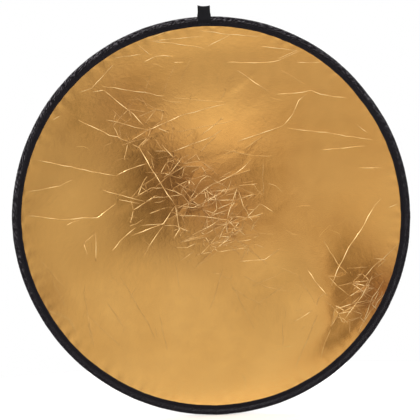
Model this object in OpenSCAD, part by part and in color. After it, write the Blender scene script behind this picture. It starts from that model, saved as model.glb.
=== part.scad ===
// Collapsible reflector disc: two reflective skins back to back, stretched inside a
// spring-steel hoop that lies loose in the sewn channel of a folded binding tape,
// with a webbing hang loop sewn over the rim.
// The disc stands in the XZ plane, its gold face towards -Y and the loop at the top (+Z).
// The origin is the centre of the disc.

/* [Disc] */
// Outside diameter of the bound disc
disc_d = 800; // [400:10:1200]
// Thickness of each reflective skin
film_t = 0.35; // [0.2:0.05:0.6]

/* [Rim binding] */
// Radial width of the folded tape, from the outside of the rim to its inner edge
binding_w = 19; // [18:0.5:26]
// Thickness of the binding tape
tape_t = 0.5; // [0.3:0.1:0.5]
// Thickness of the rim over the hoop channel, front to back
rim_t = 8.2; // [8.2:0.1:10]
// Rounding of the outside of the rim
rim_round = 3; // [2.5:0.1:3]
// Radial depth of the hoop channel, from the outside of the rim
channel_w = 10.8; // [10.5:0.1:11.5]
// Radial width of the flat side of the rim
side_w = 3.2; // [3:0.1:4]

/* [Spring hoop] */
// Width of the steel band, front to back
band_w = 5; // [4:0.1:5]
// Thickness of the steel band, along the radius
band_t = 1.2; // [0.8:0.1:1.2]
// Depth of the band's middle below the outside of the rim
band_depth = 4; // [3.8:0.1:4.2]
// Gap between the two ends of the band, inside the sleeve
band_gap = 1; // [0.5:0.5:4]
// Place of the hoop's joint, counted from +X towards +Z
joint_angle = 35.5; // [10:0.5:70]

/* [Hoop joint] */
// Length of the steel sleeve along the rim
sleeve_l = 50; // [40:1:80]
// Wall of the steel sleeve
sleeve_wall = 0.5; // [0.3:0.1:0.5]
// Diameter of the two rivets
rivet_d = 1.8; // [1.5:0.1:2.2]
// Distance between the two rivets
rivet_pitch = 24; // [15:1:35]
// Length of the shrink tube over the sleeve
wrap_l = 60; // [52:1:90]
// Wall of the shrink tube
wrap_wall = 0.25; // [0.1:0.05:0.25]

/* [Stitching] */
// Width of the sewing thread as it lies on the tape
thread_w = 0.5; // [0.3:0.1:0.6]
// Height of the sewing thread above the tape
thread_t = 0.25; // [0.2:0.05:0.4]
// Distance from the tape's inner edge to the edge seam
edge_seam_in = 1.6; // [1:0.1:2]
// Distance from the foot of the hoop channel to the channel seam
channel_seam_in = 0.8; // [0.7:0.1:1.5]

/* [Hang loop] */
// Width of the webbing
web_w = 25; // [20:1:30]
// Thickness of the webbing
web_t = 1.2; // [1:0.1:1.2]
// Height of the free loop above the rim
loop_h = 22.7; // [18:0.1:40]
// Length of the bar tack across each tail
tack_l = 20; // [12:1:20]
// Width of the bar tack
tack_w = 1.6; // [1:0.1:2]

/* [Hidden] */
$fn = 64;
rim_fn = 240;

rim_r = disc_d / 2;
rim_half = rim_t / 2;
tape_inner_r = rim_r - binding_w;
channel_foot_r = rim_r - channel_w;
side_r = rim_r - rim_round - side_w;
corner_r = rim_r - rim_round;
flap_top = film_t + tape_t;
skin_tuck = 1.5;
skin_r = channel_foot_r + skin_tuck;

// The channel's wall slopes from the flaps up to the flat side of the rim.
slope_a = atan((rim_half - flap_top) / (side_r - channel_foot_r));
miter = tan(slope_a / 2);
arc_steps = 8;

band_r = rim_r - band_depth;
sleeve_w = band_w + 2 * sleeve_wall;
sleeve_t = band_t + 2 * sleeve_wall;
rivet_sink = 0.05;

edge_seam_r = tape_inner_r + edge_seam_in;
channel_seam_r = channel_foot_r - channel_seam_in;
tack_r = (edge_seam_r + channel_seam_r) / 2;
tack_t = 0.3;

tail_inset = 0.5;
tail_end_r = tape_inner_r + tail_inset;
tail_top_drop = 1.5;
tail_top_r = rim_r - tail_top_drop;
leg_inner = rim_half;
leg_outer = leg_inner + web_t;
// The loop flexes about the middle of the band, so its legs start outside the circle
// that the tops of the tails reach about that line, with a running clearance.
flex_gap = 0.4;
tail_reach = sqrt(pow(leg_outer, 2) + pow(tail_top_r - band_r, 2)) + flex_gap;
leg_foot = band_r + sqrt(pow(tail_reach, 2) - pow(leg_inner, 2));
bend_z = rim_r + loop_h - leg_outer;

front = 1;
back = -1;

// Turns a shape made about Z, with its front upwards, to stand about Y with its front to -Y.
module stand(angle = 0) {
    rotate([90, 0, 0])
        rotate([0, 0, angle])
            children();
}

// A full ring about the disc's axis from a profile of radius and height above mid-plane.
module ring() {
    rotate_extrude($fn = rim_fn)
        children();
}

// Part of a ring, length long at the band's radius, with its middle at angle 0.
module arc_of_ring(length) {
    turn = length / band_r * 180 / PI;
    rotate([0, 0, -turn / 2])
        rotate_extrude(angle = turn, $fn = rim_fn)
            children();
}

// A rectangle of a ring's profile, centred at radius r and height h.
module section(r, h, size) {
    translate([r, h])
        square(size, center = true);
}

// Keeps what lies within width of the loop's middle line at the top of the rim.
module within_loop(width) {
    intersection() {
        children();
        translate([-width / 2, 0, -rim_t])
            cube([width, rim_r + loop_h, 2 * rim_t]);
    }
}

module front_skin() {
    color([0.84, 0.63, 0.35])
        stand()
            cylinder(h = film_t, r = skin_r, $fn = rim_fn);
}

module back_skin() {
    color([0.78, 0.79, 0.81])
        stand()
            translate([0, 0, -film_t])
                cylinder(h = film_t, r = skin_r, $fn = rim_fn);
}

// Points of an arc in the plane of a ring's profile.
function arc_points(centre, r, from, to) = [
    for (step = [0:arc_steps])
        let(a = from + (to - from) * step / arc_steps)
            centre + r * [cos(a), sin(a)]
];

// The rounded outside of the rim from its front side to its back, inset below the surface.
function rim_nose(inset) = concat(
    arc_points([corner_r, rim_half - rim_round], rim_round - inset, 90, 0),
    arc_points([corner_r, rim_round - rim_half], rim_round - inset, 0, -90)
);

// One face of the tape from the front flap's inner edge, round the rim, to the back flap's.
function tape_face(inset) = concat(
    [
        [tape_inner_r, flap_top - inset],
        [channel_foot_r + inset * miter, flap_top - inset],
        [side_r + inset * miter, rim_half - inset],
    ],
    rim_nose(inset),
    [
        [side_r + inset * miter, inset - rim_half],
        [channel_foot_r + inset * miter, inset - flap_top],
        [tape_inner_r, inset - flap_top],
    ]
);

function reversed(list) = [for (i = [len(list) - 1:-1:0]) list[i]];

// One tape folded round the rim: a hoop channel, then two flaps with the skins between.
module rim_binding() {
    color([0.12, 0.11, 0.13])
        stand()
            ring()
                polygon(concat(tape_face(0), reversed(tape_face(tape_t))));
}

// A rivet or its hole, along the radius through band and sleeve.
module rivet_rods(length) {
    for (side = [front, back])
        rotate([0, 0, side * rivet_pitch / 2 / band_r * 180 / PI])
            translate([band_r, 0, 0])
                rotate([0, 90, 0])
                    cylinder(h = length, d = rivet_d, center = true);
}

module spring_hoop() {
    band_l = 2 * PI * band_r - band_gap;
    color([0.62, 0.63, 0.66])
        stand(joint_angle)
            difference() {
                rotate([0, 0, 180])
                    arc_of_ring(band_l)
                        section(band_r, 0, [band_t, band_w]);
                rivet_rods(2 * sleeve_t);
            }
}

module joint_sleeve() {
    color([0.72, 0.73, 0.75])
        stand(joint_angle)
            difference() {
                arc_of_ring(sleeve_l)
                    difference() {
                        section(band_r, 0, [sleeve_t, sleeve_w]);
                        section(band_r, 0, [band_t, band_w]);
                    }
                rivet_rods(2 * sleeve_t);
            }
}

module sleeve_rivets() {
    color([0.8, 0.8, 0.78])
        stand(joint_angle)
            rivet_rods(sleeve_t - 2 * rivet_sink);
}

module joint_wrap() {
    color([0.1, 0.1, 0.1])
        stand(joint_angle)
            arc_of_ring(wrap_l)
                difference() {
                    section(band_r, 0, [sleeve_t + 2 * wrap_wall, sleeve_w + 2 * wrap_wall]);
                    section(band_r, 0, [sleeve_t, sleeve_w]);
                }
}

// One thread of a row of lockstitch: on the tape all round, and over the webbing's tail.
module seam(r, side) {
    on_tape = side * (flap_top + thread_t / 2);
    on_tail = side * (flap_top + web_t + thread_t / 2);
    beside = web_w + 2 * thread_w;
    color([0.16, 0.15, 0.17])
        stand() {
            difference() {
                ring()
                    section(r, on_tape, [thread_w, thread_t]);
                translate([-beside / 2, 0, -rim_t])
                    cube([beside, rim_r, 2 * rim_t]);
            }
            within_loop(web_w)
                ring()
                    section(r, on_tail, [thread_w, thread_t]);
        }
}

module channel_seam_front() {
    seam(channel_seam_r, front);
}

module channel_seam_back() {
    seam(channel_seam_r, back);
}

module edge_seam_front() {
    seam(edge_seam_r, front);
}

module edge_seam_back() {
    seam(edge_seam_r, back);
}

// One end of the webbing: flat on the tape's flap, then up the side of the rim.
module loop_tail(side) {
    color([0.1, 0.1, 0.11])
        stand()
            within_loop(web_w)
                ring()
                    polygon([
                        [tail_end_r, side * flap_top],
                        [channel_foot_r, side * flap_top],
                        [side_r, side * rim_half],
                        [tail_top_r, side * rim_half],
                        [tail_top_r, side * (rim_half + web_t)],
                        [side_r - web_t * miter, side * (rim_half + web_t)],
                        [channel_foot_r - web_t * miter, side * (flap_top + web_t)],
                        [tail_end_r, side * (flap_top + web_t)],
                    ]);
}

module loop_tail_front() {
    loop_tail(front);
}

module loop_tail_back() {
    loop_tail(back);
}

// The dense row of stitches that holds one tail between the two seams.
module loop_tack(side) {
    color([0.16, 0.15, 0.17])
        stand()
            within_loop(tack_l)
                ring()
                    section(tack_r, side * (flap_top + web_t + tack_t / 2), [tack_w, tack_t]);
}

module loop_tack_front() {
    loop_tack(front);
}

module loop_tack_back() {
    loop_tack(back);
}

// Outline of an arch across the rim: straight from its foot, then a round top.
module arch(half, foot) {
    translate([-half, foot])
        square([2 * half, bend_z - foot]);
    translate([0, bend_z])
        circle(r = half);
}

module hang_loop() {
    color([0.1, 0.1, 0.11])
        rotate([90, 0, 90])
            linear_extrude(height = web_w, center = true)
                difference() {
                    arch(leg_outer, leg_foot);
                    arch(leg_inner, leg_foot - web_t);
                }
}

front_skin();
back_skin();
rim_binding();
spring_hoop();
joint_sleeve();
sleeve_rivets();
joint_wrap();
channel_seam_front();
channel_seam_back();
edge_seam_front();
edge_seam_back();
loop_tail_front();
loop_tail_back();
loop_tack_front();
loop_tack_back();
hang_loop();
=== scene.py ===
"""A collapsible reflector disc: the looks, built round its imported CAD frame.

Metres, +Z up, the gold face towards -Y.
"""

import math

import bpy
import numpy as np
from mathutils import Matrix, Vector
from mathutils.geometry import delaunay_2d_cdt


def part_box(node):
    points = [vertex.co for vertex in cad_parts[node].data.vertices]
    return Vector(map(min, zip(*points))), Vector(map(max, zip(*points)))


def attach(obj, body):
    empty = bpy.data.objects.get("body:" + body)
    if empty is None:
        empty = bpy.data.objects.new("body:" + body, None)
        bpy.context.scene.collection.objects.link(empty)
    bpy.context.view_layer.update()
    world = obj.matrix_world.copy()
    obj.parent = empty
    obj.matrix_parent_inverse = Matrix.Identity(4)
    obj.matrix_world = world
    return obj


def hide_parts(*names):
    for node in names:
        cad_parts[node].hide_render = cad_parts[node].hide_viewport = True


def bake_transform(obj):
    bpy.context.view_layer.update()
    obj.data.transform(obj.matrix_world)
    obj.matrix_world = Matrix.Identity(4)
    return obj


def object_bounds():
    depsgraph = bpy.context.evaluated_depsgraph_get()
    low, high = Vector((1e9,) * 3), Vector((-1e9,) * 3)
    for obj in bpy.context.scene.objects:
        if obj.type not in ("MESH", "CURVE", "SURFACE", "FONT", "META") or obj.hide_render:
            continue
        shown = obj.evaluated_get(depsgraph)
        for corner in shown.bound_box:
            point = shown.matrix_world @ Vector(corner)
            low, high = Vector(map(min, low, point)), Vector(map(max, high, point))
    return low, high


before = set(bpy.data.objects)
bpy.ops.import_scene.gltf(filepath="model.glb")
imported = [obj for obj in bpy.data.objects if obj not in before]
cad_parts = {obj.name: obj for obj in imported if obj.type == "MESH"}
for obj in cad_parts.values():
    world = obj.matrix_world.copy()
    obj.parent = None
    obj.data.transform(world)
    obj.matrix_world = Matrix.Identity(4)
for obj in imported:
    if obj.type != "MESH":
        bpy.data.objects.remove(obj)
cad_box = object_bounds()

MM = 0.001
TURN = 2 * math.pi

# Sizes of the rim, taken from the frame or chosen as in the CAD model.
binding_low, binding_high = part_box("rim_binding")
RIM_R = binding_high[0]
RIM_HALF = binding_high[1]
FILM_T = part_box("back_skin")[1][1]
FILM_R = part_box("back_skin")[1][0]
BAND_R = RIM_R - 4 * MM
TAPE_T = 0.5 * MM
TAPE_IN_R = RIM_R - 19 * MM
FOOT_R = RIM_R - 10.8 * MM
ROUND_R = 3 * MM
SIDE_R = RIM_R - ROUND_R - 3.2 * MM
FLAP_TOP = FILM_T + TAPE_T
EDGE_SEAM_R = TAPE_IN_R + 1.6 * MM
CHANNEL_SEAM_R = FOOT_R - 0.8 * MM
WEB_W = 25 * MM
WEB_T = 1.2 * MM
FRONT, BACK = -1, 1

# The disc is photographed with its loop leaning a little to the left.
LEAN = math.radians(2.07)


# ---- camera and light

CAMERA_DISTANCE = 4.0
VIEW_WIDTH = 2.11 * RIM_R
AIM_SIDE = -2.1 * MM


def make_camera():
    low, high = cad_box
    aim = (Vector(low) + Vector(high)) / 2 + Vector((AIM_SIDE, 0, 0))
    data = bpy.data.cameras.new("camera")
    data.sensor_width = 36
    data.lens = data.sensor_width * CAMERA_DISTANCE / VIEW_WIDTH
    camera = bpy.data.objects.new("camera", data)
    bpy.context.collection.objects.link(camera)
    camera.location = aim - Vector((0, CAMERA_DISTANCE, 0))
    upright = Matrix.Rotation(math.pi / 2, 4, "X")
    camera.rotation_euler = (upright @ Matrix.Rotation(-LEAN, 4, "Z")).to_euler()
    bpy.context.scene.camera = camera


def add_node(tree, kind, **settings):
    """A new node; each setting sets the input of that name, or else the node itself."""
    made = tree.nodes.new("ShaderNode" + kind)
    for name, value in settings.items():
        socket = made.inputs.get(name.replace("_", " "))
        if socket is not None:
            socket.default_value = value
        else:
            setattr(made, name, value)
    return made


def math_node(tree, operation, a, b):
    """The result of an operation on two sockets or numbers."""
    made = add_node(tree, "Math", operation=operation)
    for slot, value in enumerate((a, b)):
        if isinstance(value, (int, float)):
            made.inputs[slot].default_value = value
        else:
            tree.links.new(value, made.inputs[slot])
    return made.outputs[0]


# The studio by direction: the direction's Z (then its X), and the brightness and warmth there.
# Flat film shows the part close behind the camera. Narrow bands there are dark and warm, one a
# little above the camera and one to each side of it.
SKY_LEVELS = (
    (-1.0, 1.3, 0), (-0.45, 1.3, 0), (-0.18, 0.83, 0), (-0.05, 1.05, 0), (0.0, 0.85, 0),
    (0.05, 0.44, 0.3), (0.09, 1.29, 0), (0.35, 1.45, 0), (0.7, 1.6, 0), (1.0, 1.3, 0),
)
SKY_SIDES = (
    (-1.0, 1.1, 0), (-0.4, 1.3, 0), (-0.23, 0.85, 0.3), (-0.12, 0.15, 1), (-0.05, 0.92, 0.1),
    (0.0, 1.0, 0), (0.05, 0.96, 0.15), (0.08, 1.16, 0.3), (0.14, 0.28, 0.8), (0.23, 0.8, 0.3),
    (0.4, 1.3, 0), (1.0, 1.1, 0),
)
SKY_BRIGHTEST = 1.6
# What is left of red, green and blue where the warmth is 1.
WARMTH = (1.0, 0.68, 0.42)

# The Mix node's inputs for its share and its two colours, and its output for the result.
MIX_SHARE, MIX_FIRST, MIX_SECOND, MIX_RESULT = 0, 6, 7, 2


def mix_colours(tree, share, first, second, blend_type="MIX"):
    """Two colours mixed by a share; each of the three is a socket or given in numbers."""
    made = add_node(tree, "Mix", data_type="RGBA", blend_type=blend_type)
    for slot, value in ((MIX_SHARE, share), (MIX_FIRST, first), (MIX_SECOND, second)):
        if isinstance(value, float):
            made.inputs[slot].default_value = value
        elif isinstance(value, tuple):
            made.inputs[slot].default_value = (*value, 1)
        else:
            tree.links.new(value, made.inputs[slot])
    return made.outputs[MIX_RESULT]


def brightness_ramp(tree, value, stops):
    """A smooth brightness along one part of the direction, as a share of the brightest."""
    shifted = math_node(tree, "MULTIPLY", math_node(tree, "ADD", value, 1.0), 0.5)
    ramp = add_node(tree, "ValToRGB")
    ramp.color_ramp.interpolation = "EASE"
    tree.links.new(shifted, ramp.inputs[0])
    marks = ramp.color_ramp.elements
    while len(marks) < len(stops):
        marks.new(0.5)
    for mark, (place, bright, warmth) in zip(marks, stops):
        mark.position = (place + 1) / 2
        tint = [1 + warmth * (level - 1) for level in WARMTH]
        mark.color = (*[bright / SKY_BRIGHTEST * level for level in tint], 1)
    return ramp.outputs["Color"]


def make_world():
    """A plain white backdrop, and a soft studio that is uneven close behind the camera."""
    world = bpy.data.worlds.new("studio")
    bpy.context.scene.world = world
    world.use_nodes = True
    tree = world.node_tree
    tree.nodes.clear()
    direction = add_node(tree, "TexCoord").outputs["Generated"]
    parts = add_node(tree, "SeparateXYZ")
    tree.links.new(direction, parts.inputs[0])
    level = brightness_ramp(tree, parts.outputs["Z"], SKY_LEVELS)
    side = brightness_ramp(tree, parts.outputs["X"], SKY_SIDES)
    studio = add_node(tree, "Background")
    both = mix_colours(tree, 1.0, level, side, "MULTIPLY")
    tree.links.new(both, studio.inputs["Color"])
    studio.inputs["Strength"].default_value = SKY_BRIGHTEST**2
    white = add_node(tree, "Background", Color=(1, 1, 1, 1), Strength=1.0)
    pick = add_node(tree, "MixShader")
    seen = add_node(tree, "LightPath")
    tree.links.new(seen.outputs["Is Camera Ray"], pick.inputs[0])
    tree.links.new(studio.outputs[0], pick.inputs[1])
    tree.links.new(white.outputs[0], pick.inputs[2])
    out = add_node(tree, "OutputWorld")
    tree.links.new(pick.outputs[0], out.inputs[0])
    bpy.context.scene.view_settings.view_transform = "Standard"


def area_light(name, place, size, power):
    """A square light that faces the disc's middle."""
    data = bpy.data.lights.new(name, "AREA")
    data.size = size
    data.energy = power
    lamp = bpy.data.objects.new(name, data)
    bpy.context.collection.objects.link(lamp)
    lamp.location = place
    lamp.rotation_euler = (-Vector(place)).to_track_quat("-Z", "Y").to_euler()


def make_lights():
    area_light("key", (-1.7, -1.0, 1.9), 0.8, 45)
    area_light("fill", (1.9, -1.6, 1.1), 0.8, 12)
    area_light("back_key", (1.2, 2.0, 1.9), 1.1, 40)


# ---- small mesh helpers


def new_piece(name, vertices, faces, material):
    """A smooth-shaded piece from an array of vertices, and faces as an array or a list."""
    mesh = bpy.data.meshes.new(name)
    mesh.from_pydata(vertices.tolist(), [], faces if isinstance(faces, list) else faces.tolist())
    mesh.materials.append(material)
    mesh.polygons.foreach_set("use_smooth", [True] * len(mesh.polygons))
    mesh.update()
    piece = bpy.data.objects.new(name, mesh)
    bpy.context.collection.objects.link(piece)
    return piece


def give_numbers(piece, name, values):
    """Stores a number per vertex (or a vector, for three columns) for the material to read."""
    values = np.asarray(values, float)
    kind, key = ("FLOAT_VECTOR", "vector") if values.ndim == 2 else ("FLOAT", "value")
    layer = piece.data.attributes.new(name, kind, "POINT")
    layer.data.foreach_set(key, values.ravel())


def smooth_step(x, low, high):
    t = np.clip((x - low) / (high - low), 0, 1)
    return t * t * (3 - 2 * t)


def circle(radius, count):
    """Points evenly round a circle, the first one at the right."""
    turn = np.arange(count) * TURN / count
    return radius * np.stack([np.cos(turn), np.sin(turn)], 1)


def even_points(path, step):
    """Points along a path at an even step, and how far along it each is."""
    lengths = np.concatenate([[0], np.cumsum(np.linalg.norm(np.diff(path, axis=0), axis=1))])
    at = np.arange(0, lengths[-1], step)
    return np.stack([np.interp(at, lengths, path[:, axis]) for axis in (0, 1)], 1), at


def strip_faces(rows, columns, closed_rows=False):
    """Quads of a grid of vertices, each row joined round, and the rows too where closed."""
    row = np.arange(rows if closed_rows else rows - 1)
    r, c = [g.ravel() for g in np.meshgrid(row, np.arange(columns), indexing="ij")]
    r2, c2 = (r + 1) % rows, (c + 1) % columns
    return np.stack([r * columns + c, r * columns + c2, r2 * columns + c2, r2 * columns + c], 1)


# ---- materials


def start_material(name, **principled):
    material = bpy.data.materials.new(name)
    material.use_nodes = True
    shader = material.node_tree.nodes["Principled BSDF"]
    for key, value in principled.items():
        shader.inputs[key.replace("_", " ")].default_value = value
    return material, material.node_tree, shader


def link_inputs(tree, shader, **sockets):
    """Links each given socket to the shader's input of that name."""
    for name, socket in sockets.items():
        tree.links.new(socket, shader.inputs[name.replace("_", " ")])


def object_place(tree):
    return add_node(tree, "TexCoord").outputs["Object"]


def noise(tree, place, scale, detail=3.0, distortion=0.0):
    made = add_node(tree, "TexNoise", Scale=scale, Detail=detail, Distortion=distortion)
    tree.links.new(place, made.inputs["Vector"])
    return made.outputs["Fac"]


def spread(tree, value, low, high, start=0.3, end=0.7):
    """Maps a texture's range from start to end onto low to high."""
    made = add_node(tree, "MapRange")
    for slot, number in enumerate((start, end, low, high), start=1):
        made.inputs[slot].default_value = number
    tree.links.new(value, made.inputs[0])
    return made.outputs[0]


def bump(tree, height, distance, after=None):
    made = add_node(tree, "Bump", Strength=1.0, Distance=distance)
    tree.links.new(height, made.inputs["Height"])
    if after is not None:
        tree.links.new(after, made.inputs["Normal"])
    return made.outputs[0]


def film_material(name, dark, light, worn_highlight, painted_shade, smoothest, roughest):
    """Metallised film on fabric: satin gloss, its creases worn pale with a painted highlight.

    Where it is crushed it is finely crinkled, and darkened towards brown as painted shade.
    """
    material, tree, shader = start_material(
        name, Metallic=1.0, Coat_Weight=0.25, Coat_Roughness=0.2, Coat_IOR=1.5
    )
    place = object_place(tree)
    wear_and_highlight = add_node(tree, "Attribute", attribute_name="wear_and_highlight").outputs["Fac"]
    crushed_and_shade = add_node(tree, "Attribute", attribute_name="crushed_and_shade").outputs["Fac"]
    tint = spread(tree, noise(tree, place, 9, 5), 0, 1)
    film = mix_colours(tree, tint, dark, light)
    # Painted shade: the film darkens towards brown where it is crushed.
    film = mix_colours(tree, math_node(tree, "MULTIPLY", crushed_and_shade, 2.5), film, painted_shade)
    # The crease edges turn pale: wear, and a painted highlight.
    film = mix_colours(tree, wear_and_highlight, film, worn_highlight)
    rough = spread(tree, noise(tree, place, 35, 6, 0.4), smoothest, roughest)
    rough = math_node(tree, "ADD", rough, math_node(tree, "MULTIPLY", wear_and_highlight, 0.22))
    shake = add_node(tree, "TexNoise", Scale=30.0, Detail=4.0)
    tree.links.new(place, shake.inputs["Vector"])
    soft = add_node(tree, "VectorMath", operation="SCALE")
    soft.inputs["Scale"].default_value = 0.02
    tree.links.new(shake.outputs["Color"], soft.inputs[0])
    wobble = add_node(tree, "VectorMath", operation="ADD")
    tree.links.new(place, wobble.inputs[0])
    tree.links.new(soft.outputs[0], wobble.inputs[1])
    cells = add_node(tree, "TexVoronoi", feature="DISTANCE_TO_EDGE", Scale=85.0)
    tree.links.new(wobble.outputs[0], cells.inputs["Vector"])
    ridge = math_node(tree, "MINIMUM", cells.outputs["Distance"], 0.25)
    ridge = math_node(tree, "MULTIPLY", ridge, crushed_and_shade)
    crinkle = bump(tree, ridge, -0.45 * MM)
    ripple = bump(tree, noise(tree, place, 120, 4, 0.6), 0.05 * MM, crinkle)
    grain = bump(tree, noise(tree, place, 1500, 2), 0.006 * MM, ripple)
    link_inputs(tree, shader, Base_Color=film, Roughness=rough, Normal=grain)
    return material


def sine(tree, value, pitch):
    """A wave of the given pitch, in metres, along a coordinate."""
    made = math_node(tree, "MULTIPLY", value, TURN / pitch)
    return math_node(tree, "SINE", made, 0)


def painted_highlight_streaks(tree, along):
    """Narrow painted highlight streaks that lie along the strip, slanting as its wrinkles do."""
    lie = add_node(tree, "Mapping", vector_type="TEXTURE")
    lie.inputs["Rotation"].default_value = (0, 0, -math.radians(19))
    lie.inputs["Scale"].default_value = (9 * MM, 1.1 * MM, 1)
    tree.links.new(along, lie.inputs["Vector"])
    made = add_node(tree, "TexNoise", noise_dimensions="2D", Scale=1.0, Detail=1.5)
    tree.links.new(lie.outputs[0], made.inputs["Vector"])
    return spread(tree, made.outputs["Fac"], 0.0, 1.0, 0.56, 0.70)


def cloth_material(name, dark, light, pitch, roughness, highlight_colour=None):
    """Woven nylon with threads along the strip's own length and width.

    Where a colour is given for it, the strip gets painted highlights of that colour in streaks on its
    wrinkles.
    """
    material, tree, shader = start_material(name, Roughness=roughness, Specular_IOR_Level=0.1)
    along = add_node(tree, "Attribute", attribute_name="strip").outputs["Vector"]
    parts = add_node(tree, "SeparateXYZ")
    tree.links.new(along, parts.inputs[0])
    warp = sine(tree, parts.outputs["X"], pitch)
    weft = sine(tree, parts.outputs["Y"], pitch)
    weave = math_node(tree, "MULTIPLY", warp, weft)
    place = object_place(tree)
    fuzz = noise(tree, place, 700, 4)
    tint = math_node(tree, "ADD", math_node(tree, "MULTIPLY", weave, 0.25), noise(tree, place, 60, 5))
    tint = spread(tree, tint, 0, 1)
    colours = mix_colours(tree, tint, dark, light)
    if highlight_colour:
        # Painted highlights in streaks, as strong as the strip's third number says.
        highlight_share = math_node(tree, "MULTIPLY", painted_highlight_streaks(tree, along), parts.outputs["Z"])
        colours = mix_colours(tree, highlight_share, colours, highlight_colour)
    woven = bump(tree, weave, 0.06 * MM)
    woven = bump(tree, fuzz, 0.05 * MM, woven)
    link_inputs(tree, shader, Base_Color=colours, Normal=woven)
    return material


def thread_material():
    material, tree, shader = start_material("sewing_thread", Roughness=0.45, Specular_IOR_Level=0.15)
    place = object_place(tree)
    tint = spread(tree, noise(tree, place, 500, 3), 0, 1)
    colours = mix_colours(tree, tint, (0.004, 0.0035, 0.005), (0.009, 0.008, 0.011))
    twist = bump(tree, noise(tree, place, 3000, 2), 0.03 * MM)
    link_inputs(tree, shader, Base_Color=colours, Normal=twist)
    return material


def steel_material(name, colour, roughness):
    """Rolled or plated steel with faint streaks."""
    material, tree, shader = start_material(name, Metallic=1.0)
    place = object_place(tree)
    streak = noise(tree, place, 260, 6, 1.5)
    dark = tuple(0.75 * level for level in colour)
    colours = mix_colours(tree, spread(tree, streak, 0, 1), dark, colour)
    rough = spread(tree, streak, roughness - 0.08, roughness + 0.1)
    rolled = bump(tree, streak, 0.02 * MM)
    link_inputs(tree, shader, Base_Color=colours, Roughness=rough, Normal=rolled)
    return material


def plastic_material():
    material, tree, shader = start_material("shrink_plastic", Roughness=0.45)
    place = object_place(tree)
    grain = noise(tree, place, 300, 5)
    tint = spread(tree, grain, 0, 1)
    colours = mix_colours(tree, tint, (0.008, 0.008, 0.008), (0.02, 0.02, 0.021))
    link_inputs(tree, shader, Base_Color=colours, Normal=bump(tree, grain, 0.08 * MM))
    return material


def floor_material():
    material, tree, shader = start_material("floor_paper", Roughness=0.9)
    tint = spread(tree, noise(tree, object_place(tree), 3, 3), 0, 1)
    colours = mix_colours(tree, tint, (0.66, 0.66, 0.66), (0.70, 0.70, 0.70))
    link_inputs(tree, shader, Base_Color=colours)
    return material


# ---- the two skins

# Spacing of the film's mesh: the even grid over the flat, the points along a crease, and how far
# from its line its rows lie, the last one just outside the crisp edge.
GRID_STEP = 4.4 * MM
CREASE_STEP = 2.5 * MM
EDGE_ROWS = (0, 0.36 * MM, 0.72 * MM, 0.95 * MM)
# A cell this wide holds at most one point of the rows.
CLOSEST = 0.17 * MM
# A grid point is left out if its cell of this width, or one beside it, holds a point of the rows.
CLEAR_CELL = 1.7 * MM
# Points round the film's cut edge.
EDGE_POINTS = 900
# How far a crease's crisp edge reaches, how far it is worn pale with a painted highlight, and how
# high is fully so.
EDGE_REACH = 0.72 * MM
WEAR_HIGHLIGHT_REACH = 0.8 * MM
WEAR_HIGHLIGHT_EDGE = 0.4 * MM
# How wide a crease's soft fold is, and how high as a share of its crisp edge: long, then short.
LONG_FOLD = (6 * MM, 0.05)
SHORT_FOLD = (4 * MM, 0.03)
# Creases grow stronger and weaker along their length, once in this distance.
FADE_LENGTH = 42 * MM

# How far the film's middle lies behind its rim, as a shallow dish, in millimetres.
DISH = 3.0

# The film lies free this far in from the tape, and is pulled by its stitches this much beside it.
TAUT_REACH = 60 * MM
PULL_RISE = 0.10 * MM

# Slow waves over the whole film: how many, how high, and the range of their lengths.
WAVES = 14
WAVE_RISE = 0.09 * MM
WAVE_LENGTHS = (0.14, 0.40)

# Soft billows of the film: place, width to the left and to the right, half-height in disc radii,
# and how far they stand forward in millimetres.
BILLOWS = (
    (-0.05, 0.165, 0.31, 0.38, 0.30, 7.2),
    (0.06, -0.12, 0.40, 0.40, 0.18, 2.4),
    (0.56, -0.42, 0.36, 0.20, 0.28, 6.0),
)

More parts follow.
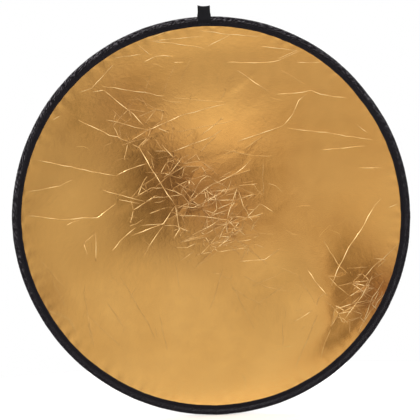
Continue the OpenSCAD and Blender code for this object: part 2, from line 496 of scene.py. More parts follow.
# Creases that stay from folding, as points across (+X) and up in hundredths of the disc's radius,
# with the loop leaning to the left. Grouped by how high their crisp edge is, in millimetres.
CREASES = {
    0.46: (
        ((-49, 76), (-60, 64), (-66, 62)), ((-60, 62), (-54, 63)),
        ((-55, 65), (-42, 63), (-34, 62), (-24, 60)), ((-54, 63), (-48, 58), (-39, 51), (-33, 44)),
        ((-67, 48), (-54, 42), (-41, 37)), ((-41, 37), (-32, 43), (-27, 45), (-16, 50), (2, 55), (8, 56)),
        ((-40, 36), (-36, 34), (-32, 27), (-24, 14), (-18, 5)), ((-34, 77), (-28, 80), (-20, 80)),
        ((-6, 93), (9, 91), (24, 90)), ((10, 91), (4, 88), (-2, 85)), ((25, 85), (43, 83), (34, 79)),
        ((-18, 5), (-9, 4), (-1, 8), (7, 13)), ((-18, 5), (-24, -4), (-40, -10)),
        ((-18, 5), (-17, -1), (-16, -7), (-19, -12)),
        ((-11, 7), (-6, 11), (1, 16), (10, 20), (16, 24), (20, 28)), ((8, -2), (0, -1), (-9, 0), (-16, 0)),
        ((8, -2), (10, 5), (13, 14)), ((8, -2), (4, -2), (-2, -6), (-10, -10)),
        ((-20, 32), (1, 40), (5, 43)), ((13, 37), (30, 43), (36, 45)),
        ((-88, 28), (-74, 25), (-60, 22), (-48, 20)), ((-48, 20), (-42, 23), (-33, 26)),
        ((-76, -2), (-57, -1), (-48, 6)), ((33, 61), (46, 62), (50, 63), (55, 61), (68, 59)),
        ((86, 9), (82, 5), (76, -6), (69, -16), (63, -28), (60, -36)), ((81, -30), (76, -40), (67, -52)),
        ((87, -32), (81, -41), (77, -52), (74, -59)),
    ),
    0.32: (
        ((-53, 48), (-44, 46), (-32, 43)), ((-27, 44), (-22, 42)), ((-42, 36), (-44, 28)),
        ((-35, 35), (-31, 39)), ((-25, 36), (-19, 29)), ((-80, 48), (-76, 50)), ((-86, 60), (-81, 60)),
        ((-37, 86), (-31, 81)), ((-32, 88), (-16, 86), (-4, 84)), ((-30, 88), (-16, 89), (-5, 90)),
        ((-33, 88), (-24, 92), (-20, 93)), ((-49, 79), (-44, 80), (-35, 81)), ((-19, 77), (-14, 77)),
        ((8, 77), (28, 77), (34, 78), (45, 83)), ((13, 73), (19, 69), (28, 63)), ((43, 77), (55, 77)),
        ((48, 61), (44, 58), (41, 51), (36, 45)), ((38, 44), (54, 42), (82, 38)), ((73, 46), (78, 42)),
        ((56, 33), (77, 35)), ((74, 24), (86, 24)), ((-14, 30), (-20, 22), (-24, 19)),
        ((-24, 14), (-30, 14), (-37, 10)), ((-24, 14), (-18, 12), (-14, 10), (-10, 5)),
        ((-11, 8), (-7, 15), (-5, 18), (-2, 20), (1, 19)), ((-6, 11), (7, 13), (13, 14)),
        ((14, 15), (23, 16)), ((13, 14), (16, 5), (21, -3)), ((8, 1), (2, 1), (-4, 3)),
        ((8, -2), (4, -12)), ((8, -2), (12, -6), (17, -10)), ((8, -2), (8, -9)), ((-24, -4), (-36, -5)),
        ((-24, -5), (-18, -5), (-11, -8)), ((-24, -5), (-29, -12), (-33, -19)),
        ((-18, -16), (-12, -16), (-8, -14)), ((0, -14), (7, -13), (11, -12)), ((13, -13), (20, -12)),
        ((-55, 13), (-41, 9), (-33, 7)), ((-47, 8), (-36, 6)), ((-33, 7), (-28, 10)),
        ((-37, 10), (-35, 15), (-32, 20)), ((-31, 1), (-23, 4)), ((6, 20), (10, 22)),
        ((14, -23), (27, -22), (34, -17)), ((-92, 12), (-76, 15), (-70, 18)),
        ((-92, 0), (-84, -1), (-76, -2)), ((-73, -5), (-66, -2)), ((-50, -18), (-46, -13), (-38, -6)),
        ((-64, -14), (-58, -9), (-58, -22)), ((-64, -14), (-62, -20)),
        ((94, -14), (88, -20), (81, -26), (76, -32)), ((89, 4), (94, 6)), ((48, -27), (58, -40)),
        ((70, -34), (81, -41)), ((62, -45), (67, -48)), ((42, -53), (50, -48)),
        ((88, -38), (80, -48), (76, -55)), ((92, -30), (86, -42), (80, -55)),
    ),
    0.12: (
        ((-19, 59), (7, 57)), ((-18, 42), (14, 48)), ((6, 33), (22, 30), (31, 30)), ((35, 73), (47, 66)),
        ((26, 27), (26, 10)), ((-18, 76), (-24, 62)), ((-10, 80), (-16, 66)), ((-30, 72), (-34, 60)),
        ((-62, -50), (-60, -64)), ((-78, -48), (-70, -53), (-68, -58)), ((-26, -50), (-22, -68)),
        ((10, -34), (22, -57)), ((60, -57), (57, -64), (55, -73)), ((36, -54), (36, -65)),
        ((54, -48), (50, -58), (42, -77)), ((10, -36), (24, -44), (40, -33)),
        ((30, -24), (44, -30), (52, -44)), ((-62, -50), (-45, -66)), ((-64, -38), (-62, -50), (-58, -68)),
        ((-86, -22), (-74, -36)), ((-80, -32), (-73, -46)), ((-84, -47), (-72, -52), (-67, -60)),
        ((-46, -30), (-40, -40), (-33, -52), (-28, -62)), ((-52, -44), (-44, -56)),
        ((-18, -24), (-16, -36)), ((6, -26), (2, -40), (-1, -48)), ((16, -30), (28, -36), (40, -38)),
        ((20, -36), (36, -28)),
    ),
}

# Where the film is crushed into facets: place, radius, number of corners, and their height in
# millimetres. Its colour is darkened there as painted shade, and where there are no corners it is
# only darkened.
CRUSHED_AND_SHADED = (
    (0.05, 0.00, 0.25, 80, 0.32),
    (-0.17, 0.18, 0.25, 36, 0.30),
    (-0.38, 0.46, 0.28, 30, 0.16),
    (0.80, -0.42, 0.24, 70, 0.28),
    (0.35, 0.62, 0.50, 30, 0.08),
    (0.00, 0.00, 1.00, 70, 0.05),
    (-0.44, 0.60, 0.20, 0, 0.20),
    (0.92, -0.40, 0.18, 0, 0.38),
    (-0.84, -0.45, 0.11, 0, 0.16),
)
# Corners on a circle round the film.
OUTER_CORNERS = 24
# A facet's side is a crease by this chance, where its length is in this range and one of its
# corners is this far from flat. The crease is at most as high as the last of these.
SIDE_CHANCE = 0.62
SIDE_LENGTHS = (6 * MM, 60 * MM)
SIDE_CORNER = 0.10 * MM
SIDE_EDGE_MOST = 0.5 * MM
# The facets run long along a line that rises this much to the right, and are this much longer
# than wide.
FACET_TILT = math.radians(17)
FACET_STRETCH = 2.0

# Where short creases are strewn: place, radius, number and height in millimetres, and then the
# range of half their length.
STREWN = (
    (0.04, 0.00, 0.26, 36, 0.26),
    (-0.16, 0.16, 0.24, 14, 0.24),
    (0.80, -0.42, 0.24, 14, 0.24),
    (-0.35, 0.45, 0.40, 24, 0.14),
    (0.00, 0.00, 1.20, 50, 0.08),
)
STREWN_HALF = (5 * MM, 24 * MM)
# Where the film is finely crumpled, in the same terms.
CRUMPLED = (
    (0.06, -0.06, 0.20, 46, 0.24),
    (-0.14, 0.18, 0.16, 14, 0.22),
    (0.80, -0.42, 0.16, 16, 0.22),
    (-0.62, -0.46, 0.22, 10, 0.09),
    (0.42, -0.40, 0.32, 18, 0.08),
)
CRUMPLED_HALF = (3 * MM, 10 * MM)

# Seeds of the random draws: facets and creases, fine crumples, and slow waves.
FILM_SEED = 11
CRUMPLED_SEED = 21
WAVE_SEED = 9


def distance_to_path(places, path, near):
    """Distance of each place to a path, and how far along it, for the places within near of it."""
    low, high = path.min(0) - near, path.max(0) + near
    close = np.nonzero(((places > low) & (places < high)).all(1))[0]
    points = places[close]
    best = np.full(len(close), np.inf)
    along = np.zeros(len(close))
    lengths = np.linalg.norm(np.diff(path, axis=0), axis=1)
    done = 0.0
    for start, end, length in zip(path, path[1:], lengths):
        step = (end - start) / length
        t = np.clip((points - start) @ step, 0, length)
        away = np.linalg.norm(points - start - t[:, None] * step, axis=1)
        nearer = away < best
        best[nearer] = away[nearer]
        along[nearer] = (done + t[nearer]) / lengths.sum()
        done += length
    return close, best, along


class Crease:
    """A crisp edge on a soft fold along a path, fading out at its ends."""

    def __init__(self, path, edge, fold):
        self.path, self.edge = path, edge
        self.reach, self.share = fold
        # It grows weaker and stronger this many times, from a part of the beat that its place sets.
        self.beats = np.linalg.norm(path[-1] - path[0]) / FADE_LENGTH
        self.start = path.sum() / MM

    def press(self, height, wear_and_highlight, places):
        """Adds the crease: a soft fold that fades over its reach, and a narrow crisp edge on it."""
        close, away, along = distance_to_path(places, self.path, 5 * self.reach)
        fade = np.sqrt(np.clip(np.minimum(along, 1 - along) / 0.2, 0, 1))
        fade *= 0.72 + 0.28 * np.sin(along * self.beats * TURN + self.start)
        fold = self.share * self.edge * np.exp(-away / self.reach)
        crisp = self.edge * np.clip(1 - away / EDGE_REACH, 0, 1)
        height[close] += fade * (fold + crisp)
        # The crease's pale edge: wear, and a painted highlight of the light it catches.
        worn_highlight = fade * min(1, self.edge / WEAR_HIGHLIGHT_EDGE) * np.clip(1 - away / WEAR_HIGHLIGHT_REACH, 0, 1)
        wear_and_highlight[close] = np.maximum(wear_and_highlight[close], worn_highlight)

    def rows(self, offsets):
        """Rows of points along the crease, one at each offset from its line."""
        line = even_points(self.path, CREASE_STEP)[0]
        heading = np.gradient(line, axis=0) if len(line) > 1 else np.ones((1, 2))
        heading /= np.linalg.norm(heading, axis=1)[:, None] + 1e-12
        normal = np.stack([-heading[:, 1], heading[:, 0]], 1)
        return np.concatenate([line + offset * normal for offset in offsets])


def natural_path(points, rng, step, wander):
    """Points along a path with a slight wander, as a crease in film has."""
    points = np.asarray(points, float)
    out = [points[0]]
    for start, end in zip(points, points[1:]):
        pieces = max(1, round(np.linalg.norm(end - start) / step))
        for number in range(1, pieces + 1):
            place = start + (end - start) * number / pieces
            shake = wander if number < pieces else 0.0
            out.append(place + rng.normal(0, 1, 2) * shake)
    return np.array(out)


def turning(angle):
    """The matrix that turns points, as rows, clockwise by an angle."""
    return np.array([[math.cos(angle), -math.sin(angle)], [math.sin(angle), math.cos(angle)]])


def lean_back(points):
    """Turns places given with the loop leaning to the left into the frame's own."""
    return np.asarray(points) @ turning(LEAN)


def facet_corners(rng):
    """Corners of the film's facets, with their heights: crowded where it is crushed.

    The heights fade towards the edge of each crushed place.
    """
    spots, heights = [], []
    for across, up, wide, count, rise in CRUSHED_AND_SHADED:
        middle = lean_back([(across, up)])[0] * RIM_R
        off = rng.normal(0, 0.5, (count, 2))
        spots.append(middle + off * wide * RIM_R)
        heights.append(rng.normal(0, 1.1 * rise, count) * MM * np.exp(-(off**2).sum(1)))
    spots.append(circle(FILM_R * 1.02, OUTER_CORNERS))
    heights.append(np.zeros(OUTER_CORNERS))
    spots, heights = np.concatenate(spots), np.concatenate(heights)
    inside = np.linalg.norm(spots, axis=1) < FILM_R * 1.03
    return spots[inside], heights[inside]


def triangulate(points):
    """The Delaunay triangles of points, and the points as the triangles number them."""
    made, _, triangles, *_ = delaunay_2d_cdt([Vector(point) for point in points], [], [], 0, 1e-7)
    return np.array([tuple(point) for point in made]), np.array(triangles)


def long_facets(points):
    """Triangles of points that run long along the facets' own direction."""
    narrow = turning(FACET_TILT) @ np.diag((1 / FACET_STRETCH, 1))
    made, triangles = triangulate(points @ narrow)
    return made @ np.linalg.inv(narrow), triangles


def facet_heights(places, spots, heights, triangles):
    """Height of the faceted film at each place: flat within each triangle of corners."""
    out = np.zeros(len(places))
    for corners in triangles:
        a, b, c = spots[corners]
        low, high = spots[corners].min(0), spots[corners].max(0)
        close = np.nonzero(((places >= low) & (places <= high)).all(1))[0]
        frame_of = np.array([b - a, c - a]).T
        if abs(np.linalg.det(frame_of)) < 1e-10:
            continue
        part = (places[close] - a) @ np.linalg.inv(frame_of).T
        inside = (part >= -1e-9).all(1) & (part.sum(1) <= 1 + 1e-9)
        share = part[inside]
        first, second, third = heights[corners]
        out[close[inside]] = first + share @ (second - first, third - first)
    return out


def strew(rng, groups, half_range):
    """Short bent creases strewn round the middle of each group."""
    creases = []
    for across, up, wide, count, rise in groups:
        middle = lean_back([(across, up)])[0] * RIM_R
        for number in range(count):
            start = middle + rng.normal(0, 0.5, 2) * wide * RIM_R
            heading = rng.normal(0.25, 0.9)
            half = rng.uniform(*half_range)
            bend = heading + rng.normal(0, 0.35)
            halfway = start + half * np.array((math.cos(heading), math.sin(heading)))
            end = halfway + half * np.array((math.cos(bend), math.sin(bend)))
            edge = rise * MM * rng.uniform(0.3, 1.0)
            if np.linalg.norm(halfway) < TAPE_IN_R - 10 * MM:
                path = natural_path([start, halfway, end], rng, 9 * MM, 0.4 * MM)
                creases.append(Crease(path, edge, SHORT_FOLD))
    return creases


def lay_creases(rng, spots, heights, triangles):
    """Every crease of the film: listed, strewn, crumpled, and along the facets' sides."""
    creases = []
    for rise, group in CREASES.items():
        for points in group:
            places = lean_back(np.asarray(points) / 100) * RIM_R
            path = natural_path(places, rng, 14 * MM, 0.6 * MM)
            creases.append(Crease(path, rise * MM, LONG_FOLD))
    creases += strew(rng, STREWN, STREWN_HALF)
    creases += strew(np.random.default_rng(CRUMPLED_SEED), CRUMPLED, CRUMPLED_HALF)
    sides = np.concatenate([triangles[:, [0, 1]], triangles[:, [1, 2]], triangles[:, [2, 0]]])
    sides = np.unique(np.sort(sides, axis=1), axis=0)
    for first, second in sides:
        start, end = spots[first], spots[second]
        steep = max(abs(heights[first]), abs(heights[second]))
        length = np.linalg.norm(end - start)
        chance = rng.random()
        size = rng.uniform(0.3, 1.0)
        fits = SIDE_LENGTHS[0] < length < SIDE_LENGTHS[1]
        if fits and chance < SIDE_CHANCE and steep > SIDE_CORNER:
            if max(np.linalg.norm(start), np.linalg.norm(end)) < TAPE_IN_R:
                edge = size * min(1.4 * steep, SIDE_EDGE_MOST)
                path = natural_path([start, end], rng, 12 * MM, 0.4 * MM)
                creases.append(Crease(path, edge, SHORT_FOLD))
    return creases


def film_places(creases):
    """Points to mesh the film with: an even grid, and close rows along every crease."""
    radius = FILM_R - 0.3 * MM
    close = []
    for row in EDGE_ROWS:
        close += [crease.rows((-row, row) if row else (0,)) for crease in creases]
    close = np.concatenate(close)
    close = close[np.linalg.norm(close, axis=1) < radius - 2 * MM]
    cells = np.round(close / CLOSEST).astype(int)
    first = np.sort(np.unique(cells, axis=0, return_index=True)[1])
    close = close[first]
    row_gap = GRID_STEP * math.sqrt(3) / 2
    count = int(radius / row_gap)
    across, up = np.meshgrid(np.arange(-count - 1, count + 2), np.arange(-count, count + 1))
    grid = np.stack([(across + 0.5 * (up % 2)) * GRID_STEP, up * row_gap], -1).reshape(-1, 2)
    grid = grid[np.linalg.norm(grid, axis=1) < radius - 0.6 * GRID_STEP]
    size = int(2 * radius / CLEAR_CELL) + 5
    taken = np.zeros((size, size), bool)
    at = ((close + radius) / CLEAR_CELL).astype(int) + 1
    for i in (-1, 0, 1):
        for j in (-1, 0, 1):
            taken[at[:, 0] + i, at[:, 1] + j] = True
    at = ((grid + radius) / CLEAR_CELL).astype(int) + 1
    grid = grid[~taken[at[:, 0], at[:, 1]]]
    return np.concatenate([circle(radius, EDGE_POINTS), close, grid])


def film_height(places, creases, folds):
    """Height of the film towards the front at each place, how crushed it is with its painted shade,
    and how worn it is with its painted highlight.
    """
    radius = np.linalg.norm(places, axis=1)
    height = folds.copy()
    crushed_and_shade = np.full(len(places), 0.03)
    wear_and_highlight = np.zeros(len(places))
    for across, up, left, right, tall, rise in BILLOWS:
        off = places / RIM_R - lean_back([(across, up)])[0]
        wide = np.where(off[:, 0] < 0, left, right)
        height += rise * MM * np.exp(-((off[:, 0] / wide) ** 2) - (off[:, 1] / tall) ** 2)
    rng = np.random.default_rng(WAVE_SEED)
    for number in range(WAVES):
        heading = rng.uniform(0, TURN)
        length = rng.uniform(*WAVE_LENGTHS)
        phase = (places @ (math.cos(heading), math.sin(heading))) * TURN / length
        height += WAVE_RISE * np.sin(phase + rng.uniform(0, TURN))
    for crease in creases:
        crease.press(height, wear_and_highlight, places)
    # The crushed share also sets how far the film's colour is darkened as painted shade.
    for across, up, wide, count, rise in CRUSHED_AND_SHADED:
        middle = lean_back([(across, up)])[0] * RIM_R
        crushed_and_shade += 0.6 * rise * np.exp(-((places - middle) ** 2).sum(1) / (wide * RIM_R) ** 2)
    slack = 1 - smooth_step(radius, TAPE_IN_R - TAUT_REACH, TAPE_IN_R + 1 * MM)
    dish = DISH * MM * np.clip(1 - (radius / TAPE_IN_R) ** 2, 0, 1)
    turn = np.arctan2(places[:, 1], places[:, 0])
    pull = np.sin(turn * 97 + 2 * np.sin(turn * 7)) + np.sin(turn * 61 + 3 * np.sin(turn * 5))
    pull *= PULL_RISE
    near_tape = np.exp(-np.abs(TAPE_IN_R - radius) / (10 * MM)) * (radius < TAPE_IN_R)
    height = height * slack - dish + pull * near_tape * smooth_step(TAPE_IN_R - radius, 0, 3 * MM)
    return height, np.clip(crushed_and_shade, 0, 1), wear_and_highlight


def make_skins():
    rng = np.random.default_rng(FILM_SEED)
    corners, corner_heights = facet_corners(rng)
    spots, facets = long_facets(corners)
    nearest = ((spots[:, None] - corners[None]) ** 2).sum(2).argmin(1)
    corner_heights = corner_heights[nearest]
    creases = lay_creases(rng, spots, corner_heights, facets)
    places, triangles = triangulate(film_places(creases))
    folds = facet_heights(places, spots, corner_heights, facets)
    height, crushed_and_shade, wear_and_highlight = film_height(places, creases, folds)
    # Each film's pale crease colour is partly a painted highlight, and its dark brown colour a painted
    # shade where it is crushed.
    gold = film_material(
        "gold_film",
        dark=(0.77, 0.428, 0.114),
        light=(0.83, 0.475, 0.135),
        worn_highlight=(0.97, 0.73, 0.38),
        painted_shade=(0.35, 0.142, 0.032),
        smoothest=0.13,
        roughest=0.18,
    )
    silver = film_material(
        "silver_film",
        dark=(0.70, 0.71, 0.73),
        light=(0.78, 0.785, 0.80),
        worn_highlight=(0.93, 0.93, 0.94),
        painted_shade=(0.36, 0.36, 0.38),
        smoothest=0.15,
        roughest=0.21,
    )
    for name, side, material, node in (
        ("gold_skin", FRONT, gold, "front_skin"),
        ("silver_skin", BACK, silver, "back_skin"),
    ):
        y = side * FILM_T / 2 - height
        facing = triangles if side == FRONT else triangles[:, ::-1]
        skin = new_piece(name, np.stack([places[:, 0], y, places[:, 1]], 1), facing, material)
        give_numbers(skin, "crushed_and_shade", crushed_and_shade)
        give_numbers(skin, "wear_and_highlight", wear_and_highlight)
        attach(skin, "disc")
        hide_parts(node)


# ---- the rim binding

TAPE_STEPS = 1530
PUCKER = 9.5 * MM
TAPE_SEED = 5
# How far a wrinkle leans along the rim as it crosses it.
WRINKLE_SLANT = 9.0
# Swells round the rim, each as its place in degrees from the right towards the loop, its reach in
# degrees, and its size. The outline's and the tape's inner edge's sizes are in millimetres. The
# tape's wrinkles also carry painted highlights, as a share, most at the loop and to its left, where
# the key light falls.
RIM_SWELLS = ((-50, 28, 1.2), (35.5, 9, -1.5), (222, 25, -1.0), (88, 20, 0.6), (150, 30, 0.3))
EDGE_SWELLS = ((112, 45, -0.9),)
HIGHLIGHT_SWELLS = ((114, 50, 1.1), (35, 24, 0.45), (175, 20, 0.35))


def swells(turn, places):
    """The sum of the swells at each angle round the rim."""
    out = np.zeros(len(turn))
    for place, wide, rise in places:
        off = (np.degrees(turn) - place + 180) % 360 - 180
        out += rise * np.exp(-((off / wide) ** 2))
    return out


def smooth_noise(rng, count, samples):
    """samples values of a smooth random line through count knots, closed on itself."""
    knots = rng.normal(0, 1, count)
    knots = np.append(knots, knots[0])
    x = np.linspace(0, count, samples, endpoint=False)
    low = np.floor(x).astype(int)
    t = x - low
    t = t * t * (3 - 2 * t)
    return knots[low] * (1 - t) + knots[low + 1] * t


class TapeShape:
    """How the folded tape departs from a true ring: its outline, puckers and edge."""

    def __init__(self):
        rng = np.random.default_rng(TAPE_SEED)
        self.turn = np.arange(TAPE_STEPS) * TURN / TAPE_STEPS
        turns = round(TURN * BAND_R / PUCKER)
        self.outline = 0.35 * MM * smooth_noise(rng, 26, TAPE_STEPS)
        self.outline += 0.12 * MM * smooth_noise(rng, 160, TAPE_STEPS)
        self.outline += swells(self.turn, RIM_SWELLS) * MM
        self.edge = 0.18 * MM * smooth_noise(rng, 220, TAPE_STEPS)
        self.edge += swells(self.turn, EDGE_SWELLS) * MM
        sides = (FRONT, BACK)
        wander = {side: 1.6 * smooth_noise(rng, 170, TAPE_STEPS) for side in sides}
        self.phase = {side: turns / 2 * self.turn + wander[side] for side in sides}
        uneven = {side: 0.45 + 0.4 * smooth_noise(rng, 150, TAPE_STEPS) for side in sides}
        self.depth = {side: np.clip(uneven[side], 0.0, 1.1) * MM for side in sides}
        self.flap_wave = {side: 0.09 * MM * smooth_noise(rng, 260, TAPE_STEPS) for side in sides}

    def pucker(self, side, r):
        """Height of the slanting wrinkles at radius r all round, sharp ridges between wide valleys."""
        slant = (r - FOOT_R) / PUCKER * WRINKLE_SLANT
        ridge = (1 - np.abs(np.sin(self.phase[side] + slant))) ** 1.4
        gather = float(smooth_step(r, CHANNEL_SEAM_R, SIDE_R))
        gather *= 1 - 0.6 * float(smooth_step(r, SIDE_R, RIM_R))
        return self.depth[side] * (ridge - 0.35) * gather

    def flap(self, side, r):
        """Lift of the flat flap at radius r all round."""
        calm = 1 - float(smooth_step(r, CHANNEL_SEAM_R, SIDE_R))
        seams = (CHANNEL_SEAM_R, EDGE_SEAM_R)
        dimple = 0.16 * MM * sum(math.exp(-(((r - seam) / (0.7 * MM)) ** 2)) for seam in seams)
        swell = 0.5 + 0.5 * np.cos(2 * (self.phase[side] + (r - FOOT_R) / PUCKER * 0.9))
        return (self.flap_wave[side] + 0.10 * MM * swell) * calm - dimple + 0.05 * MM


def tape_profile():
    """The folded tape's outer face as radius, height, and the outward direction, front to back."""
    slope = math.atan2(RIM_HALF - FLAP_TOP, SIDE_R - FOOT_R)
    half = []
    for r in np.linspace(TAPE_IN_R, FOOT_R - 0.6 * MM, 9):
        half.append((r, FLAP_TOP, 0.0, 1.0))
    for part in np.linspace(0.1, 0.95, 8):
        r = FOOT_R + (SIDE_R - FOOT_R) * part
        h = FLAP_TOP + (RIM_HALF - FLAP_TOP) * part
        half.append((r, h, -math.sin(slope), math.cos(slope)))
    half.append((SIDE_R + 1.0 * MM, RIM_HALF, -0.1, 0.99))
    for a in np.radians((90, 72, 54, 36, 18, 0)):
        r = RIM_R - ROUND_R + ROUND_R * math.cos(a)
        h = RIM_HALF - ROUND_R + ROUND_R * math.sin(a)
        half.append((r, h, math.cos(a), math.sin(a)))
    mirrored = [(r, -h, out, -up) for r, h, out, up in reversed(half)]
    return half + mirrored, len(half)


def make_binding(shape):
    profile, half_n = tape_profile()
    across = 0.0
    columns, lengths, highlight_across = [], [], []
    # Painted highlights on the wrinkles: strongest round the rim where the key light falls, and across on
    # the channel's sloping faces.
    highlight_round = 0.1 + swells(shape.turn, HIGHLIGHT_SWELLS)
    for number, (r, h, out, up) in enumerate(profile):
        side = FRONT if number < half_n else BACK
        if number:
            across += math.hypot(r - profile[number - 1][0], h - profile[number - 1][1])
        lift = shape.pucker(side, r) + shape.flap(side, r) * (1 if r < SIDE_R else 0)
        radial = r + out * lift + shape.outline + (shape.edge if r == TAPE_IN_R else 0)
        height = h + up * lift
        columns.append((radial, height))
        lengths.append(across)
        highlight_across.append(float(smooth_step(r, FOOT_R, SIDE_R)) * float(smooth_step(abs(up), 0.2, 0.8)))
    inside = []
    for number in [*range(len(profile) - 1, 0, -3), 0]:
        r, h, out, up = profile[number]
        radial, height = columns[number]
        inside.append((radial - out * TAPE_T, height - up * TAPE_T))
        lengths.append(lengths[number])
        highlight_across.append(0.0)
    columns += inside
    vertices = []
    for radial, height in columns:
        vertices.append(np.stack([radial * np.cos(shape.turn), -height, radial * np.sin(shape.turn)], 1))
    vertices = np.stack(vertices, 1).reshape(-1, 3)
    faces = strip_faces(TAPE_STEPS, len(columns), closed_rows=True)
    colour = cloth_material(
        "binding_tape",
        dark=(0.0018, 0.0011, 0.0024),
        light=(0.0042, 0.0030, 0.0052),
        pitch=0.8 * MM,
        roughness=0.22,
        # The colour of the painted highlights.
        highlight_colour=(0.15, 0.143, 0.158),
    )
    tape = new_piece("rim_tape", vertices, faces, colour)
    arc = np.repeat(shape.turn * BAND_R, len(columns))
    # The share of painted highlight, round the rim and across the tape.
    highlight_share = np.repeat(highlight_round, len(columns)) * np.tile(highlight_across, TAPE_STEPS)
    give_numbers(tape, "strip", np.stack([arc, np.tile(lengths, TAPE_STEPS), highlight_share], 1))
    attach(tape, "disc")
    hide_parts("rim_binding")


# ---- stitching

STITCH = 3.0 * MM


def stitch_shape(length, wide, thick):
    """One stitch as a small spindle along X, lying on Y = 0, with its ends sunk in the cloth."""
    vertices, faces = [(-length / 2, -0.5 * thick, 0)], []
    for along, size in ((-0.32, 0.8), (0.0, 1.0), (0.32, 0.8)):
        middle = thick * (0.5 * size - 0.25)
        for a in np.arange(6) * TURN / 6:
            out = middle + 0.5 * thick * size * math.sin(a)
            vertices.append((along * length, out, 0.5 * wide * size * math.cos(a)))
    vertices.append((length / 2, -0.5 * thick, 0))
    for side in range(6):
        after = (side + 1) % 6
        faces.append((0, 1 + after, 1 + side))
        for ring in range(2):
            low = 1 + 6 * ring
            faces.append((low + side, low + after, low + 6 + after))
            faces.append((low + side, low + 6 + after, low + 6 + side))
        faces.append((19, 13 + side, 13 + after))
    return np.array(vertices), np.array(faces)


def sew(name, places, along, side, size, nodes, material):
    """A piece of separate stitches on one side, each at a place and lying along a direction."""
    shape, faces = stitch_shape(*size)
    outward = np.tile((0.0, float(side), 0.0), (len(places), 1))
    third = np.cross(along, outward)
    vertices = (
        places[:, None]
        + shape[None, :, 0, None] * along[:, None]
        + shape[None, :, 1, None] * outward[:, None]
        + shape[None, :, 2, None] * third[:, None]
    )
    count = len(shape)
    all_faces = faces[None] + np.arange(len(places))[:, None, None] * count
    piece = new_piece(name, vertices.reshape(-1, 3), all_faces.reshape(-1, 3), material)
    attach(piece, "disc")
    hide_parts(nodes)


def seam_stitches(name, node, shape, r, side, material):
    """A full row of lockstitch on the tape, passing over the webbing at the top."""
    count = round(TURN * r / STITCH)
    turn = (np.arange(count) + 0.5) * TURN / count
    lift = np.interp(turn, shape.turn, shape.flap(side, r), period=TURN)
    bulge = np.interp(turn, shape.turn, shape.outline, period=TURN)
    x, z = (r + bulge) * np.cos(turn), (r + bulge) * np.sin(turn)
    on_web = (np.abs(x) < WEB_W / 2) & (z > 0)
    height = FLAP_TOP + lift + on_web * (WEB_T + 0.02 * MM)
    places = np.stack([x, side * (height + 0.05 * MM), z], 1)
    along = np.stack([-np.sin(turn), 0 * turn, np.cos(turn)], 1)
    sew(name, places, along, side, (2.5 * MM, 0.5 * MM, 0.34 * MM), node, material)


def tack_stitches(name, node, side, material):
    """The dense bar of short stitches across one tail of the webbing."""
    count, long, tall = 44, 20 * MM, 1.6 * MM
    x = np.linspace(-long / 2, long / 2, count)
    r = (EDGE_SEAM_R + CHANNEL_SEAM_R) / 2
    z = np.sqrt(r**2 - x**2)
    places = np.stack([x, np.full(count, side * (FLAP_TOP + WEB_T + 0.1 * MM)), z], 1)
    slant = 0.22 * np.where(np.arange(count) % 2, 1, -1)
    along = np.stack([np.sin(slant), 0 * x, np.cos(slant)], 1)
    sew(name, places, along, side, (tall, 0.42 * MM, 0.34 * MM), node, material)


def make_stitching(shape):
    material = thread_material()
    for word, side in (("front", FRONT), ("back", BACK)):
        for seam, r in (("channel", CHANNEL_SEAM_R), ("edge", EDGE_SEAM_R)):
            name, node = seam + "_stitches_" + word, seam + "_seam_" + word
            seam_stitches(name, node, shape, r, side, material)
        tack_stitches("tack_stitches_" + word, "loop_tack_" + word, side, material)


# ---- the hang loop

LOOP_TOP = cad_box[1][2] - 1.6 * MM
STRAP_STEP = 0.25 * MM
STRAP_RIB = 1.0 * MM
SELVEDGE = 1.7 * MM


def rounded_route(corners, step):
    """A smooth route through corner points: straight runs with each corner cut by a curve."""
    corners = np.asarray(corners, float)
    dense = [corners[0]]
    for before, corner, after in zip(corners, corners[1:], corners[2:]):
        start, end = (before + corner) / 2, (corner + after) / 2
        for t in np.linspace(0, 1, 24):
            dense.append((1 - t) ** 2 * start + 2 * t * (1 - t) * corner + t**2 * end)
    dense.append(corners[-1])
    return even_points(np.array(dense), step)


def strap_route():
    """Middle line of the webbing from the front tail, over the rim and round, to the back tail."""
    lay = FLAP_TOP + WEB_T / 2 + 0.02 * MM
    stand = RIM_HALF + WEB_T / 2 + 0.25 * MM
    tail = (
        (lay, TAPE_IN_R + 0.5 * MM),
        (lay, TAPE_IN_R + 4.0 * MM),
        (lay, FOOT_R - 1.2 * MM),
        (stand - 0.9 * MM, SIDE_R - 2.0 * MM),
        (stand, SIDE_R + 1.0 * MM),
        (stand, RIM_R),
        (stand + 0.3 * MM, RIM_R + 6 * MM),
        (stand + 0.2 * MM, RIM_R + 12 * MM),
        (stand - 0.3 * MM, LOOP_TOP - 4.5 * MM),
        (stand - 0.9 * MM, LOOP_TOP - WEB_T / 2 - 0.4 * MM),
        (0.6 * MM, LOOP_TOP - WEB_T / 2),
    )
    front = [(-y, z) for y, z in tail]
    back = list(reversed(tail))
    return rounded_route(front + back, STRAP_STEP)


def strap_section():
    """Points round the webbing's cross-section: across, and half-thicknesses out of its middle."""
    edge = WEB_W / 2
    left = np.linspace(-edge + 0.35 * MM, -edge + 3.2 * MM, 10)
    middle = np.linspace(-edge + 4.5 * MM, edge - 4.5 * MM, 14)
    right = np.linspace(edge - 3.2 * MM, edge - 0.35 * MM, 10)
    face = np.concatenate([left, middle, right])
    inset = edge - np.abs(face)
    groove = 0.20 * np.exp(-(((inset - SELVEDGE) / (0.35 * MM)) ** 2))
    cord = 0.16 * np.exp(-(((inset - SELVEDGE / 2) / (0.45 * MM)) ** 2))
    thick = 1.0 - groove + cord
    rounded = [(edge - 0.08 * MM, 0.55), (edge, 0.0), (edge - 0.08 * MM, -0.55)]
    half = list(zip(face, thick)) + rounded
    return half + [(-x, -t) for x, t in half]


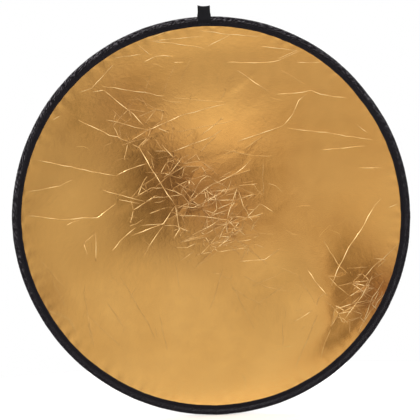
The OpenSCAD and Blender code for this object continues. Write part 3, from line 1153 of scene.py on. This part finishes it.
def make_hang_loop():
    route, at = strap_route()
    heading = np.gradient(route, axis=0)
    heading /= np.linalg.norm(heading, axis=1)[:, None]
    outward = np.stack([-heading[:, 1], heading[:, 0]], 1)
    section = strap_section()
    across = np.array([x for x, t in section])
    thick = np.array([t for x, t in section]) * WEB_T / 2
    z = route[:, 1]
    rib = 1 + 0.09 * np.cos(at * TURN / STRAP_RIB)
    spread_out = 1 + 0.10 * np.exp(-(((z - RIM_R - 1 * MM) / (5 * MM)) ** 2))
    x = spread_out[:, None] * across[None]
    inner = np.abs(across) < WEB_W / 2 - SELVEDGE
    body = thick[None] * np.where(inner[None], rib[:, None], 1.0)
    y = route[:, 0, None] + outward[:, 0, None] * body
    up = z[:, None] + outward[:, 1, None] * body
    # The fold at the top is higher at its two corners than in its middle, most at the left.
    part = across[None] / (WEB_W / 2)
    corner = 2.6 * MM * np.clip(-part, 0, 1) ** 2 + 1.2 * MM * np.clip(part, 0, 1) ** 2
    grow = smooth_step(z, RIM_R + 6 * MM, LOOP_TOP)[:, None]
    up = up + corner * grow
    # Below the rim the strip follows the disc's curve.
    sag = RIM_R - np.sqrt(RIM_R**2 - x**2)
    up = up - sag * (1 - smooth_step(z, RIM_R - 6 * MM, RIM_R + 4 * MM))[:, None]
    vertices = np.stack([x, y, up], 2).reshape(-1, 3)
    rows, columns = len(route), len(section)
    faces = strip_faces(rows, columns).tolist()
    faces.append(list(range(columns - 1, -1, -1)))
    faces.append([(rows - 1) * columns + c for c in range(columns)])
    colour = cloth_material(
        "loop_webbing",
        dark=(0.0018, 0.0018, 0.0026),
        light=(0.0042, 0.0042, 0.0058),
        pitch=1.1 * MM,
        roughness=0.55,
    )
    piece = new_piece("hang_loop_webbing", vertices, faces, colour)
    along = np.repeat(at, columns)
    give_numbers(piece, "strip", np.stack([along, np.tile(across, rows), 0 * along], 1))
    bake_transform(piece)
    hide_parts("loop_tail_front", "loop_tail_back", "hang_loop")


# ---- the hidden parts and the floor


def dress_hidden_parts():
    spring = steel_material("spring_steel", (0.42, 0.43, 0.46), 0.35)
    plated = steel_material("plated_steel", (0.62, 0.63, 0.65), 0.28)
    for node, material in (
        ("spring_hoop", spring),
        ("joint_sleeve", plated),
        ("sleeve_rivets", plated),
        ("joint_wrap", plastic_material()),
    ):
        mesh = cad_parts[node].data
        mesh.materials.clear()
        mesh.materials.append(material)


def make_floor():
    """A round sheet of paper under the disc."""
    corners = 96
    level = cad_box[0][2] - 0.5 * MM
    outline = circle(2.2 * RIM_R, corners) + (0, RIM_R)
    outline = np.column_stack([outline, np.full(corners, level)])
    floor = new_piece("floor", outline, [list(range(corners))], floor_material())


make_camera()
make_world()
make_lights()
make_floor()
tape_shape = TapeShape()
make_skins()
make_binding(tape_shape)
make_stitching(tape_shape)
make_hang_loop()
dress_hidden_parts()
